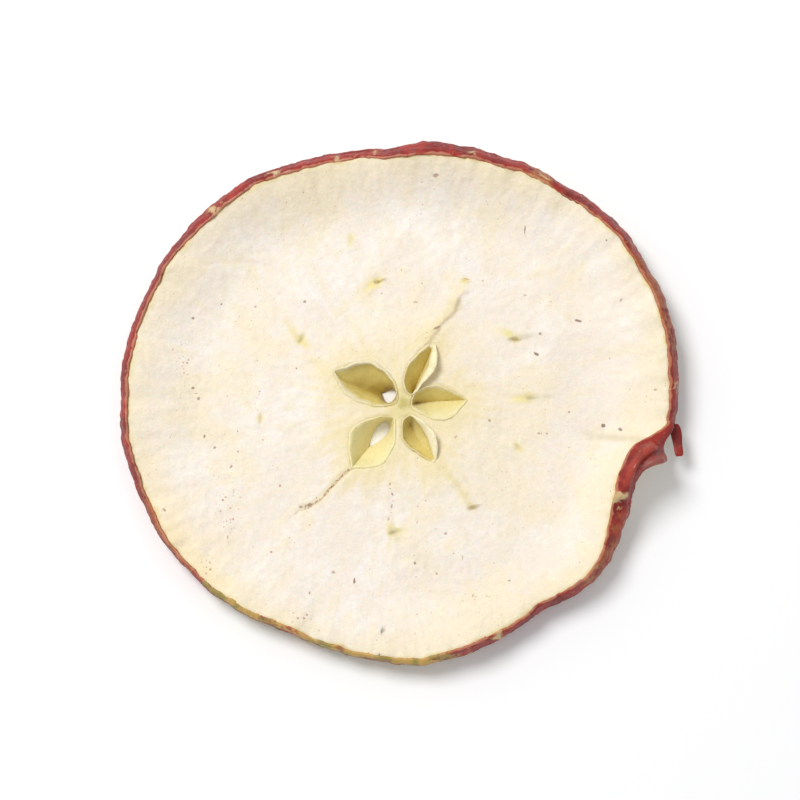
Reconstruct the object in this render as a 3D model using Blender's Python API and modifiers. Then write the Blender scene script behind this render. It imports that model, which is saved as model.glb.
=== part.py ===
import math

import bmesh
import bpy
from mathutils import Vector

# A dried apple slice, cut across the core, with its skin still on the rim.
# It is built flat, as a disc with the five seed cells cut into it, and is then
# bent the way drying bent it: the rim curls up and one pleat draws it in.
# Azimuths are in degrees, anticlockwise from +X, and -Y is the near side.

MM = 0.001

# The disc before it is bent.
MEAN_RADIUS = 33.3 * MM
CORE_RADIUS = 10.6 * MM
SEGMENTS = 108
FLESH_RINGS = 12
RIM_RINGS = 5

# Height of the two faces over the middle of the slice. The flesh has shrunk
# more than the skin, so the slice is thinnest halfway out.
CORE_TOP = 1.45 * MM
CORE_BOTTOM = -1.35 * MM
REST_BOTTOM = -1.50 * MM
FLESH_TOP = 1.20 * MM
FLESH_BOTTOM = -1.15 * MM
RIM_TOP = 2.30 * MM
RIM_BOTTOM = -1.45 * MM
RIM_ROUNDING = 0.55 * MM
REST_INNER = 12.5 * MM
REST_OUTER = 19.0 * MM

# How the rim departs from a circle: azimuth, reach clockwise, reach
# anticlockwise (degrees), and how far out it goes.
RIM_BUMPS = (
    (34, 38, 34, 2.4 * MM),
    (172, 50, 48, 2.4 * MM),
    (130, 26, 24, 0.8 * MM),
    (98, 24, 18, -0.7 * MM),
    (78, 9, 9, 0.35 * MM),
    (-18, 18, 10, -3.7 * MM),
    (-5, 2.5, 5, 0.9 * MM),
    (-8.5, 3, 3, -1.0 * MM),
    (-58, 20, 14, -2.4 * MM),
    (-112, 20, 26, -1.6 * MM),
)

# How steeply the rim curls up: azimuth, reach clockwise, reach anticlockwise,
# and slope (degrees).
REST_SLOPE = 5
CURLS = (
    (85, 95, 60, 24),
    (137, 12, 10, 6),
    (86, 8, 8, 8),
    (100, 9, 7, -5),
    (-18, 14, 8, 36),
    (-95, 14, 12, -8),
    (-62, 10, 10, -4),
    (-138, 30, 20, -6),
    (180, 20, 25, 2),
)
# The curl starts at this share of the rim's radius, and nearer to the rim at
# the pleat.
CURL_START = 0.67
PLEAT_STARTS = ((-18, 20, 14, 0.13),)

# The rim's slow ripples: waves around, azimuth of a crest, height. The whole
# rim is lifted a little, so that the slice rests on its flat middle.
RIM_LIFT = 0.25 * MM
RIPPLES = (
    (7, 20, 0.18 * MM),
    (13, -98, 0.14 * MM),
)

# Seed cells: each opens as a petal between two papery walls and narrows to a
# throat near the hub. The throat's place and size are shares of the petal's
# length and width, and "left" is the side anticlockwise from the tip.
CELL_POINTS = 30
HUB_X = 0.1 * MM
HUB_Y = 0.0 * MM
PAPER = 0.32 * MM
CELLS = (
    dict(azimuth=153, inner=1.5, outer=9.7, width=5.6, throat=0.30, shift=-0.16,
         throat_length=0.50, throat_width=0.42, floor=-3.0, lip=0.35, rise=0.5, rise_side=-1),
    dict(azimuth=67, inner=1.6, outer=8.8, width=3.0, throat=0.40, shift=0.10,
         throat_length=0.62, throat_width=0.40, floor=-0.75, lip=0.40, rise=0.9, rise_side=-1),
    dict(azimuth=5.4, inner=1.4, outer=7.4, width=4.5, throat=0.45, shift=0.10,
         throat_length=0.55, throat_width=0.24, floor=-0.60, lip=0.25, rise=0.25, rise_side=1),
    dict(azimuth=-58.8, inner=1.5, outer=8.1, width=3.9, throat=0.48, shift=-0.12,
         throat_length=0.60, throat_width=0.34, floor=-0.70, lip=0.35, rise=0.75, rise_side=1),
    dict(azimuth=-133.2, inner=1.6, outer=9.8, width=5.5, throat=0.34, shift=0.05,
         throat_length=0.52, throat_width=0.34, floor=-3.0, lip=0.35, rise=0.4, rise_side=1),
)


def clear_scene():
    for item in list(bpy.data.objects):
        bpy.data.objects.remove(item, do_unlink=True)


def new_collection(name):
    group = bpy.data.collections.new(name)
    bpy.context.scene.collection.children.link(group)
    return group


def add_object(name, mesh, group):
    item = bpy.data.objects.new(name, mesh)
    group.objects.link(item)
    return item


def ease(low, high, value):
    share = min(max((value - low) / (high - low), 0.0), 1.0)
    return share * share * (3.0 - 2.0 * share)


def around(azimuth, features):
    # Sum of one-sided bells around the rim.
    total = 0.0
    for place, clockwise, anticlockwise, size in features:
        turn = (azimuth - place + 180.0) % 360.0 - 180.0
        reach = anticlockwise if turn > 0.0 else clockwise
        total += size * math.exp(-(turn / reach) ** 2)
    return total


def face_height(radius, top):
    # Height of the top or bottom face of the flat disc at this radius.
    core = CORE_TOP if top else CORE_BOTTOM
    rest = FLESH_TOP if top else REST_BOTTOM
    flesh = FLESH_TOP if top else FLESH_BOTTOM
    rim = RIM_TOP if top else RIM_BOTTOM
    height = core + (rest - core) * ease(CORE_RADIUS, REST_INNER, radius)
    height += (flesh - rest) * ease(REST_OUTER, REST_OUTER + 5 * MM, radius)
    height += (rim - flesh) * ease(0.72 * MEAN_RADIUS, 0.97 * MEAN_RADIUS, radius)
    return height


def disc_profile():
    # From the core's edge out over the top, down the rim and back below.
    edge = MEAN_RADIUS - RIM_ROUNDING
    step = (edge - CORE_RADIUS) / FLESH_RINGS
    radii = [0.0] + [CORE_RADIUS + step * index for index in range(FLESH_RINGS + 1)]
    points = [(radius, face_height(radius, True)) for radius in radii]
    for index in range(1, RIM_RINGS + 1):
        share = index / (RIM_RINGS + 1)
        angle = math.pi * share
        height = RIM_BOTTOM + (RIM_TOP - RIM_BOTTOM) * (0.5 + 0.5 * math.cos(angle))
        points.append((edge + RIM_ROUNDING * math.sin(angle) ** 0.5, height))
    points += [(radius, face_height(radius, False)) for radius in reversed(radii)]
    return points


def make_disc(group):
    points = disc_profile()
    mesh = bpy.data.meshes.new("apple_slice")
    vertices = [(radius, 0.0, height) for radius, height in points]
    edges = [(index, index + 1) for index in range(len(points) - 1)]
    mesh.from_pydata(vertices, edges, [])
    disc = add_object("apple_slice", mesh, group)
    turn = disc.modifiers.new("Turn", "SCREW")
    turn.angle = math.tau
    turn.steps = SEGMENTS
    turn.render_steps = SEGMENTS
    turn.use_merge_vertices = True
    turn.merge_threshold = 0.00001
    apply_modifiers(disc)
    flatten_core(disc.data)
    return disc


def flatten_core(mesh):
    # The turned fans around the axis become one flat face above and below.
    bm = bmesh.new()
    bm.from_mesh(mesh)
    poles = [v for v in bm.verts if v.co.xy.length < 0.1 * MM]
    bmesh.ops.dissolve_verts(bm, verts=poles)
    bm.to_mesh(mesh)
    bm.free()


def apply_modifiers(item):
    graph = bpy.context.evaluated_depsgraph_get()
    mesh = bpy.data.meshes.new_from_object(item.evaluated_get(graph))
    item.modifiers.clear()
    item.data = mesh


def petal_point(angle):
    # Petal outline as shares of half length and half width: a pointed tip at
    # angle 0 and a rounded end towards the hub.
    along = math.cos(angle)
    across = 1.19 * math.sin(angle) * abs(math.sin(angle / 2.0)) ** 0.7
    return along, across


def place_in_cell(cell, along, across):
    turn = math.radians(cell["azimuth"])
    out = Vector((math.cos(turn), math.sin(turn), 0.0))
    left = Vector((-out.y, out.x, 0.0))
    return Vector((HUB_X, HUB_Y, 0.0)) + out * along + left * across


def petal_solid(cell, name, sections, group):
    # A cone primitive whose rings are moved to the petal's sections. Each
    # section is a height with a rule for the outline's point at an angle.
    bm = bmesh.new()
    bmesh.ops.create_cone(bm, cap_ends=True, segments=CELL_POINTS,
                          radius1=1.0, radius2=1.0, depth=1.0)
    uprights = [e for e in bm.edges if abs(e.verts[0].co.z - e.verts[1].co.z) > 0.5]
    bmesh.ops.subdivide_edges(bm, edges=uprights, cuts=len(sections) - 2,
                              use_grid_fill=True)
    for vertex in bm.verts:
        level = round((vertex.co.z + 0.5) * (len(sections) - 1))
        angle = math.atan2(vertex.co.y, vertex.co.x)
        vertex.co = sections[level](angle)
    mesh = bpy.data.meshes.new(name)
    bm.to_mesh(mesh)
    bm.free()
    return add_object(name, mesh, group)


def opening_section(cell, height, narrow):
    # Outline of the hollow: narrow runs from 0 at the lip to 1 at the throat.
    middle = 0.5 * (cell["inner"] + cell["outer"]) * MM
    reach = 0.5 * (cell["outer"] - cell["inner"]) * MM
    half = 0.5 * cell["width"] * MM
    throat = (cell["inner"] + (cell["outer"] - cell["inner"]) * cell["throat"]) * MM

    def point(angle):
        along, across = petal_point(angle)
        length = 1.0 + (cell["throat_length"] - 1.0) * narrow
        width = 1.0 + (cell["throat_width"] - 1.0) * narrow
        u = middle + (throat - middle) * narrow + along * reach * length
        v = across * half * width + cell["shift"] * half * 2.0 * narrow
        place = place_in_cell(cell, u, v)
        place.z = height
        return place

    return point


def wall_section(cell, raised):
    # Outline of the papery wall's outer side, one paper thickness out. Its
    # upper edge stands highest on one side of the petal.
    middle = 0.5 * (cell["inner"] + cell["outer"]) * MM
    reach = 0.5 * (cell["outer"] - cell["inner"]) * MM + PAPER
    half = 0.5 * cell["width"] * MM + PAPER

    def point(angle):
        along, across = petal_point(angle)
        place = place_in_cell(cell, middle + along * reach, across * half)
        side = max(across * cell["rise_side"], 0.0)
        place.z = 0.0
        if raised:
            place.z = CORE_TOP + (cell["lip"] + cell["rise"] * side) * MM
        return place

    return point


def make_cells(disc):
    walls = new_collection("papery_walls")
    cutters = new_collection("cell_cutters")
    for number, cell in enumerate(CELLS, 1):
        lip = CORE_TOP + 0.1 * MM
        floor = cell["floor"] * MM
        middle = CORE_TOP + 0.45 * (max(floor, CORE_BOTTOM) - CORE_TOP)
        petal_solid(cell, f"wall_{number}",
                    (wall_section(cell, False), wall_section(cell, True)), walls)
        cutter = petal_solid(cell, f"cell_{number}", (
            opening_section(cell, floor, 1.0),
            opening_section(cell, max(floor, CORE_BOTTOM) + 0.2 * MM, 0.92),
            opening_section(cell, middle, 0.55),
            opening_section(cell, lip, 0.0),
            opening_section(cell, 4.0 * MM, 0.0)), cutters)
        cutter.hide_render = True
        cutter.display_type = "WIRE"
    for name, operation, group in (("Papery walls", "UNION", walls),
                                   ("Seed cells", "DIFFERENCE", cutters)):
        step = disc.modifiers.new(name, "BOOLEAN")
        step.operation = operation
        step.operand_type = "COLLECTION"
        step.collection = group
    apply_modifiers(disc)
    for group in (walls, cutters):
        for item in list(group.objects):
            bpy.data.objects.remove(item, do_unlink=True)
        bpy.data.collections.remove(group)


def middle_height(x, y):
    # Height of the bent slice's middle surface.
    radius = math.hypot(x, y)
    azimuth = math.degrees(math.atan2(y, x))
    rim = rim_radius(azimuth)
    start = (CURL_START + around(azimuth, PLEAT_STARTS)) * rim
    slope = math.tan(math.radians(REST_SLOPE + around(azimuth, CURLS)))
    height = slope * max(radius - start, 0.0) ** 2 / (2.0 * (rim - start))
    share = ease(CURL_START, 1.0, radius / rim)
    height += share * RIM_LIFT
    for waves, crest, size in RIPPLES:
        height += share * size * math.cos(math.radians(waves * (azimuth - crest)))
    return height


def rim_radius(azimuth):
    return MEAN_RADIUS + around(azimuth, RIM_BUMPS)


def bend(place):
    # The point's plan place follows the rim's outline, and its height is laid
    # off square to the middle surface.
    radius = place.xy.length
    azimuth = math.degrees(math.atan2(place.y, place.x))
    share = ease(0.35, 1.0, radius / MEAN_RADIUS)
    stretch = 1.0 + (rim_radius(azimuth) / MEAN_RADIUS - 1.0) * share
    x = place.x * stretch
    y = place.y * stretch
    step = 0.05 * MM
    slope_x = (middle_height(x + step, y) - middle_height(x - step, y)) / (2.0 * step)
    slope_y = (middle_height(x, y + step) - middle_height(x, y - step)) / (2.0 * step)
    normal = Vector((-slope_x, -slope_y, 1.0)).normalized()
    return Vector((x, y, middle_height(x, y))) + normal * place.z


def bend_disc(disc):
    for vertex in disc.data.vertices:
        vertex.co = bend(vertex.co)


def stand_on_origin(disc):
    # The origin is under the middle of the slice, on the surface it rests on.
    places = [v.co for v in disc.data.vertices]
    low = Vector([min(p[axis] for p in places) for axis in range(3)])
    high = Vector([max(p[axis] for p in places) for axis in range(3)])
    base = Vector(((low.x + high.x) / 2.0, (low.y + high.y) / 2.0, low.z))
    for vertex in disc.data.vertices:
        vertex.co -= base
    print("size in mm", [round(v / MM, 3) for v in high - low])
    print("base in mm", [round(v / MM, 3) for v in base])


def flesh_material():
    paint = bpy.data.materials.new("dried_apple_flesh")
    paint.use_nodes = True
    shader = paint.node_tree.nodes["Principled BSDF"]
    shader.inputs["Base Color"].default_value = (0.90, 0.80, 0.63, 1.0)
    shader.inputs["Roughness"].default_value = 0.72
    shader.inputs["Metallic"].default_value = 0.0
    return paint


def main():
    clear_scene()
    parts = new_collection("dried_apple_slice")
    disc = make_disc(parts)
    make_cells(disc)
    bend_disc(disc)
    stand_on_origin(disc)
    disc.data.materials.append(flesh_material())
    disc.data.shade_smooth()
    disc.data.set_sharp_from_angle(angle=math.radians(40))


main()
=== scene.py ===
import math

import bmesh
import bpy
import numpy as np
from mathutils import Matrix, Vector, noise


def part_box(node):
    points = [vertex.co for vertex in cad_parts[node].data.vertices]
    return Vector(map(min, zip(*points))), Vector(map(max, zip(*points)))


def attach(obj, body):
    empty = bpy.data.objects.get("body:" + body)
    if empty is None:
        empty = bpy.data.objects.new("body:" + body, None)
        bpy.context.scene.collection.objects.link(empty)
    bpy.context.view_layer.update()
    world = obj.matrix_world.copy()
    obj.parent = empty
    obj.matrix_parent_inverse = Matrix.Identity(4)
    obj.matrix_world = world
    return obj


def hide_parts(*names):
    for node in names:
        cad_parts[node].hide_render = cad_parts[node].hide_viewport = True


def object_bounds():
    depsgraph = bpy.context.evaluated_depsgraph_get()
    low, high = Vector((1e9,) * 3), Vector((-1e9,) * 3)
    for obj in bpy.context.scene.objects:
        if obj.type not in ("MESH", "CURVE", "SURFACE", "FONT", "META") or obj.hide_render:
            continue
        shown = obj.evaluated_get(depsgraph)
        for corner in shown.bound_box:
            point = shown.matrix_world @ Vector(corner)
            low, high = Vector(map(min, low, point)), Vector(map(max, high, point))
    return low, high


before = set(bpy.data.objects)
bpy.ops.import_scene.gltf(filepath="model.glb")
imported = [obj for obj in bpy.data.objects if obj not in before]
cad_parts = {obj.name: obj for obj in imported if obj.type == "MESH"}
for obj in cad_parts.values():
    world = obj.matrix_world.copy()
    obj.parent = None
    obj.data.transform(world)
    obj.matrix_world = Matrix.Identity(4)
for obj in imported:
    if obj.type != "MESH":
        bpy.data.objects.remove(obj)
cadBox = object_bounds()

# A dried apple slice. Each piece is modelled flat, in millimetres from the
# core's middle, and is then bent the way drying bent the slice. Azimuths are
# in degrees, anticlockwise from +X, with -Y on the near side.

sliceForm = {
    "meanRadius": 33.3,
    "coreRadius": 10.6,
    "restInner": 12.5,
    "restOuter": 19.0,
    # top and bottom of the flat slice, in the order core, rest ring, flesh, rim
    "tops": (1.45, 1.20, 1.20, 2.30),
    "bottoms": (-1.35, -1.50, -1.15, -1.45),
    "rimRounding": 0.55,
    # azimuth, reach clockwise, reach anticlockwise, how far out
    "rimBumps": (
        (34, 38, 34, 2.4), (172, 50, 48, 2.4), (130, 26, 24, 0.8),
        (98, 24, 18, -0.7), (78, 9, 9, 0.35), (-18, 18, 10, -3.7),
        (-5, 2.5, 5, 0.9), (-8.5, 3, 3, -1.0), (-58, 20, 14, -2.4),
        (-112, 20, 26, -1.6)),
    "restSlope": 5,
    # azimuth, reach clockwise, reach anticlockwise, slope in degrees
    "curls": (
        (85, 95, 60, 24), (137, 12, 10, 6), (86, 8, 8, 8), (100, 9, 7, -5),
        (-18, 14, 8, 36), (-95, 14, 12, -8), (-62, 10, 10, -4),
        (-138, 30, 20, -6), (180, 20, 25, 2)),
    "curlStart": 0.67,
    "pleatStarts": ((-18, 20, 14, 0.13),),
    "rimLift": 0.25,
    # waves around, azimuth of a crest, height
    "ripples": ((7, 20, 0.18), (13, -98, 0.14)),
}

meanRadius = sliceForm["meanRadius"]
coreTop, rimTop, rimBottom = sliceForm["tops"][0], sliceForm["tops"][3], sliceForm["bottoms"][3]

# What the drying adds on top of the plain bent form.
dryingPlan = {
    # waves around, phase in degrees, size in mm
    "outlineWaver": ((17, 40, 0.09), (29, 10, 0.05), (43, 75, 0.035), (67, 20, 0.03)),
    "edgeWaver": ((19, 5, 0.10), (31, 60, 0.07), (53, 15, 0.05)),
    # lengthwise folds in the rim: azimuth, reach clockwise, reach
    # anticlockwise, place (0 bottom, 1 top), its width, how far out
    "rimFolds": (
        (-13.5, 4.0, 3.0, 0.36, 0.11, -0.42), (-16.5, 5.5, 4.5, 0.66, 0.22, 0.58),
        (-12.5, 3.0, 2.6, 0.12, 0.16, 0.08), (-22.6, 1.0, 1.2, 0.80, 0.30, 0.30),
        (-24.2, 0.7, 0.6, 0.6, 0.4, -0.25), (-7.6, 2.2, 2.2, 0.5, 0.6, -0.30),
        (-30.0, 5.0, 5.0, 0.55, 0.25, 0.25), (-142, 24, 30, 0.45, 0.5, -0.28),
        (-98, 24, 20, 0.45, 0.5, -0.22), (40, 45, 35, 0.45, 0.5, -0.26),
        (128, 14, 16, 0.45, 0.10, -0.20), (100, 12, 14, 0.62, 0.10, -0.16)),
    # the pleat's rim rolls up and out over this width, by so many degrees
    "rollWidth": 4.2,
    "rolls": ((-14.5, 5.6, 4.0, 34),),
    # the rim's outline where it differs from the plain form
    "outlineBumps": ((-7.8, 2.2, 2.0, 2.0), (-14, 6.6, 4.5, 2.5), (-3.2, 2.0, 4.0, -0.6)),
    # where the rim is thin: azimuth, reach clockwise, reach anticlockwise, share lost
    "pinches": ((-7.2, 2.9, 2.6, 0.76), (-18, 6, 3.6, 0.42), (-95, 25, 25, 0.15)),
}


def ease(low, high, value):
    share = np.clip((value - low) / (high - low), 0.0, 1.0)
    return share * share * (3.0 - 2.0 * share)


def around(azimuth, features):
    # sum of one-sided bells around the rim
    total = np.zeros_like(azimuth, dtype=float)
    for place, clockwise, anticlockwise, size in features:
        turn = (azimuth - place + 180.0) % 360.0 - 180.0
        reach = np.where(turn > 0.0, anticlockwise, clockwise)
        total += size * np.exp(-(turn / reach) ** 2)
    return total


def waver(azimuth, waves):
    total = np.zeros_like(azimuth, dtype=float)
    for count, phase, size in waves:
        total += size * np.cos(np.radians(count * azimuth + phase))
    return total


def rimRadius(azimuth):
    return meanRadius + around(azimuth, sliceForm["rimBumps"])


def faceHeight(radius, heights):
    core, rest, flesh, rim = heights
    height = core + (rest - core) * ease(sliceForm["coreRadius"], sliceForm["restInner"], radius)
    height += (flesh - rest) * ease(sliceForm["restOuter"], sliceForm["restOuter"] + 5, radius)
    return height + (rim - flesh) * ease(0.72 * meanRadius, 0.97 * meanRadius, radius)


def middleHeight(x, y):
    # height of the bent slice's middle surface
    radius = np.hypot(x, y)
    azimuth = np.degrees(np.arctan2(y, x))
    rim = rimRadius(azimuth)
    start = (sliceForm["curlStart"] + around(azimuth, sliceForm["pleatStarts"])) * rim
    slope = np.tan(np.radians(sliceForm["restSlope"] + around(azimuth, sliceForm["curls"])))
    height = slope * np.maximum(radius - start, 0.0) ** 2 / (2.0 * (rim - start))
    share = ease(sliceForm["curlStart"], 1.0, radius / rim)
    height += share * sliceForm["rimLift"]
    for waves, crest, size in sliceForm["ripples"]:
        height += share * size * np.cos(np.radians(waves * (azimuth - crest)))
    return height


def rollRim(x, y, h):
    # the pleat's rim turns up and out along an arc, before the slice is bent
    radius = np.hypot(x, y)
    azimuth = np.arctan2(y, x)
    width = dryingPlan["rollWidth"]
    start = meanRadius - width
    turn = np.radians(around(np.degrees(azimuth), dryingPlan["rolls"]))
    curve = np.maximum(turn, 1e-5) / width
    past = np.maximum(radius - start, 0.0)
    rolled = start + np.sin(curve * past) / curve - h * np.sin(curve * past)
    lifted = (1.0 - np.cos(curve * past)) / curve + h * np.cos(curve * past)
    radius = np.where(past > 0.0, rolled, radius)
    return radius * np.cos(azimuth), radius * np.sin(azimuth), np.where(past > 0.0, lifted, h)


def bend(flat, dried=True):
    # takes flat points (n, 3) to the bent slice, in mm from the core's middle
    x, y, h = flat.T
    if dried:
        azimuth = np.degrees(np.arctan2(y, x))
        lost = around(azimuth, dryingPlan["pinches"]) * ease(0.86, 0.98, np.hypot(x, y) / meanRadius)
        h = np.where(h < rimTop, rimTop - (rimTop - h) * (1.0 - lost), h)
        x, y, h = rollRim(x, y, h)
    radius = np.hypot(x, y)
    azimuth = np.degrees(np.arctan2(y, x))
    share = ease(0.35, 1.0, radius / meanRadius)
    stretch = 1.0 + (rimRadius(azimuth) / meanRadius - 1.0) * share
    if dried:
        near = ease(0.80, 1.0, radius / meanRadius)
        outline = waver(azimuth, dryingPlan["outlineWaver"]) + around(azimuth, dryingPlan["outlineBumps"])
        stretch += near * outline / meanRadius
        h = h + near * waver(azimuth, dryingPlan["edgeWaver"])
    x, y = x * stretch, y * stretch
    step = 0.05
    slopeX = (middleHeight(x + step, y) - middleHeight(x - step, y)) / (2.0 * step)
    slopeY = (middleHeight(x, y + step) - middleHeight(x, y - step)) / (2.0 * step)
    normal = np.stack([-slopeX, -slopeY, np.ones_like(x)], axis=1)
    normal /= np.linalg.norm(normal, axis=1, keepdims=True)
    return np.stack([x, y, middleHeight(x, y)], axis=1) + normal * h[:, None]


def findCore():
    # the core's place in the frame: the plain rim's box is the CAD node's box
    turns = np.radians(np.arange(0.0, 360.0, 0.5))
    corner = meanRadius - sliceForm["rimRounding"]
    rings = ((corner, rimTop), (meanRadius, 0.4),
             (corner, rimBottom))
    rim = np.concatenate([
        bend(np.stack([r * np.cos(turns), r * np.sin(turns), np.full_like(turns, h)], axis=1), False)
        for r, h in rings])
    low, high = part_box("apple_slice")
    middle = 500.0 * (np.array(low) + np.array(high))
    core = middle - 0.5 * (rim.min(axis=0) + rim.max(axis=0))
    core[2] = 1000.0 * low[2] - sliceForm["bottoms"][1]
    return core


corePlace = findCore()
print("core at", [round(float(v), 2) for v in corePlace], "mm")


def meshPoints(mesh, key="co"):
    values = np.empty(len(mesh.vertices) * 3)
    mesh.vertices.foreach_get(key, values)
    return values.reshape(-1, 3)


def setPoints(mesh, places):
    # millimetres from the core to metres in the frame, nothing under the table
    places = places + corePlace
    places[:, 2] = np.maximum(places[:, 2], 0.0)
    mesh.vertices.foreach_set("co", (places * 0.001).ravel())
    mesh.update()


def setMasks(mesh, masks):
    # each holds one number or one vector for each point
    for name, values in masks.items():
        values = np.asarray(values, dtype=np.float32)
        kind, key = ("FLOAT", "value") if values.ndim == 1 else ("FLOAT_VECTOR", "vector")
        mesh.attributes.new(name, kind, "POINT").data.foreach_set(key, values.ravel())


def toObject(bm, name):
    mesh = bpy.data.meshes.new(name)
    bm.to_mesh(mesh)
    bm.free()
    piece = bpy.data.objects.new(name, mesh)
    bpy.context.scene.collection.objects.link(piece)
    return piece


def applyModifiers(piece):
    graph = bpy.context.evaluated_depsgraph_get()
    mesh = bpy.data.meshes.new_from_object(piece.evaluated_get(graph))
    piece.modifiers.clear()
    piece.data = mesh


def turnSection(section, steps, closed, cuts=0):
    # spins a section of (radius, height) points about the core's axis
    bm = bmesh.new()
    verts = [bm.verts.new((radius, 0.0, height)) for radius, height in section]
    pairs = list(zip(verts, verts[1:])) + ([(verts[-1], verts[0])] if closed else [])
    edges = [bm.edges.new(pair) for pair in pairs]
    bmesh.ops.spin(bm, geom=verts + edges, cent=(0, 0, 0), axis=(0, 0, 1), dvec=(0, 0, 0),
                   angle=math.tau, steps=steps, use_merge=True, use_duplicate=False)
    bmesh.ops.remove_doubles(bm, verts=bm.verts, dist=0.0005)
    if cuts:
        runs = [e for e in bm.edges if abs(math.atan2(e.verts[0].co.y, e.verts[0].co.x)
                                           - math.atan2(e.verts[1].co.y, e.verts[1].co.x)) > 1e-4]
        bmesh.ops.subdivide_edges(bm, edges=runs, cuts=cuts, use_grid_fill=True)
    bmesh.ops.recalc_face_normals(bm, faces=bm.faces)
    return bm


def latticeNoise(places, seed):
    # smooth gradient noise on whole-number cells, about -1 to 1
    cells = np.floor(places).astype(np.int64)
    within = places - cells
    share = within ** 3 * (within * (within * 6.0 - 15.0) + 10.0)
    total = np.zeros(len(places))
    for corner in range(8):
        step = np.array([corner & 1, corner >> 1 & 1, corner >> 2 & 1])
        key = ((cells + step) * np.array([73856093, 19349663, 83492791])).sum(axis=1) + seed * 7919
        offset = within - step
        value = np.zeros(len(places))
        for axis in range(3):
            key = (key ^ (key >> 15)) * 2246822519 % 4294967296
            value += (key / 2147483648.0 - 1.0) * offset[:, axis]
        weight = np.where(step, share, 1.0 - share).prod(axis=1)
        total += weight * value
    return 1.6 * total


def fractal(places, size, octaves=4, seed=0):
    # soft uneven noise with the given feature size in mm
    total = np.zeros(len(places))
    for octave in range(octaves):
        total += latticeNoise(places * (2.0 ** octave / size), seed + octave) * 0.5 ** octave
    return total


def turned(x, y, azimuth):
    # how far along an azimuth, and how far to its left
    turn = math.radians(azimuth)
    return x * math.cos(turn) + y * math.sin(turn), y * math.cos(turn) - x * math.sin(turn)


def polarPlaces(turn, radius, around, outward):
    # places for a noise whose features run outwards
    return np.stack([np.cos(turn) * around, np.sin(turn) * around, radius / outward], axis=1)


def pathDistance(x, y, path):
    # signed distance to a line of points, positive on its left, the plain
    # distance, and the share of the way along it
    best = np.full(x.shape, 1e9)
    side = np.zeros(x.shape)
    run = np.zeros(x.shape)
    legs = [math.dist(a, b) for a, b in zip(path, path[1:])]
    done = 0.0
    for (ax, ay), (bx, by), leg in zip(path, path[1:], legs):
        share = np.clip(((x - ax) * (bx - ax) + (y - ay) * (by - ay)) / leg ** 2, 0.0, 1.0)
        dx, dy = x - ax - share * (bx - ax), y - ay - share * (by - ay)
        far = np.hypot(dx, dy)
        nearer = far < best
        cross = (bx - ax) * dy - (by - ay) * dx
        side = np.where(nearer, np.where(cross >= 0.0, far, -far), side)
        run = np.where(nearer, (done + share * leg) / sum(legs), run)
        best = np.minimum(best, far)
        done += leg
    return side, best, run


def bell(value, width):
    return np.exp(-(value / width) ** 2)


# Seed cells

cellPlans = {
    "shellPoints": 96,
    "shellLevels": 18,
    "paper": 0.12,
    "hollowGrow": 0.20,
    "flarePeak": 0.66,     # where along the cell its lip leans out most
    "lipPeak": 0.62,       # and stands highest
    "fullLip": 0.5,        # a lip of this height looks fully papery
    "reach": 6.0,          # distances to a cell are kept up to this
    "allWithin": 16.0,     # of the core's middle
    # azimuth of the tip, ends along it, half widths on the left and right with
    # the share of the length where each is widest, the valley (its ends along
    # the cell and how far each lies to the left), the hole in it (share of the
    # valley, half width), the depth, how much of it the valley loses towards
    # the tip, then for the left and right: how steep the wall is below its lip
    # (less than 0 for a soft shoulder), how high and how far out the papery
    # lip stands, and how much painted light lightens the wall where the key lamp falls
    "cells": (
        dict(name="upperLeft", azimuth=153.8, ends=(1.1, 9.9), left=(2.2, 0.52), right=(2.9, 0.48),
             valley=(1.7, 8.6, -0.9, 0.5), hole=(0.25, 1.0), depth=2.9, rise=0.6, bowls=(-0.12, 0.3),
             lips=(0.0, 0.30), flares=(0.0, 0.25), paintedLight=(0.0, 0.0)),
        dict(name="upperRight", azimuth=65.0, ends=(1.6, 8.8), left=(1.65, 0.42), right=(0.6, 0.40),
             valley=(2.2, 7.0, -0.15, -0.1), hole=(0.0, 0.0), depth=2.3, rise=0.35, bowls=(0.2, 0.5),
             lips=(0.12, 1.05), flares=(0.1, 1.0), paintedLight=(0.0, 0.45)),
        dict(name="right", azimuth=4.7, ends=(0.9, 7.9), left=(2.2, 0.38), right=(2.05, 0.52),
             valley=(1.3, 7.0, 0.5, 0.35), hole=(0.0, 0.0), depth=2.2, rise=0.45, bowls=(0.1, -0.15),
             lips=(0.05, 0.16), flares=(0.0, 0.1), paintedLight=(0.0, 0.6)),
        dict(name="lowerRight", azimuth=-62.5, ends=(1.4, 8.1), left=(0.75, 0.45), right=(2.0, 0.40),
             valley=(2.3, 6.6, -0.3, 0.0), hole=(0.0, 0.0), depth=2.1, rise=0.4, bowls=(0.7, 0.6),
             lips=(1.0, 0.0), flares=(0.95, 0.0), paintedLight=(0.35, 0.12)),
        dict(name="lowerLeft", azimuth=-129.5, ends=(2.1, 10.2), left=(2.5, 0.58), right=(3.0, 0.54),
             valley=(2.6, 9.2, -0.5, -0.3), hole=(0.60, 0.80), depth=2.9, rise=0.5, bowls=(-0.05, -0.15),
             lips=(0.10, 0.0), flares=(0.1, 0.0), paintedLight=(0.95, 0.75)),
    ),
}


def sideWidth(share, half, peak):
    # rounded towards the hub, pointed at the tip
    turned = share ** (math.log(0.5) / math.log(peak))
    bulge = math.sin(math.pi * turned)
    return half * (bulge ** 0.6 if turned < 0.5 else bulge)


def holeWidth(cell, share):
    # half width of the valley's open part, a drop that points to the tip
    length, half = cell["hole"]
    if not half or share >= length:
        return 0.0
    part = share / length
    return half * 2.6 * math.sqrt(part) * (1.0 - part)


def toPlan(cell, u, v):
    turn = math.radians(cell["azimuth"])
    return u * math.cos(turn) - v * math.sin(turn), u * math.sin(turn) + v * math.cos(turn)


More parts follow.
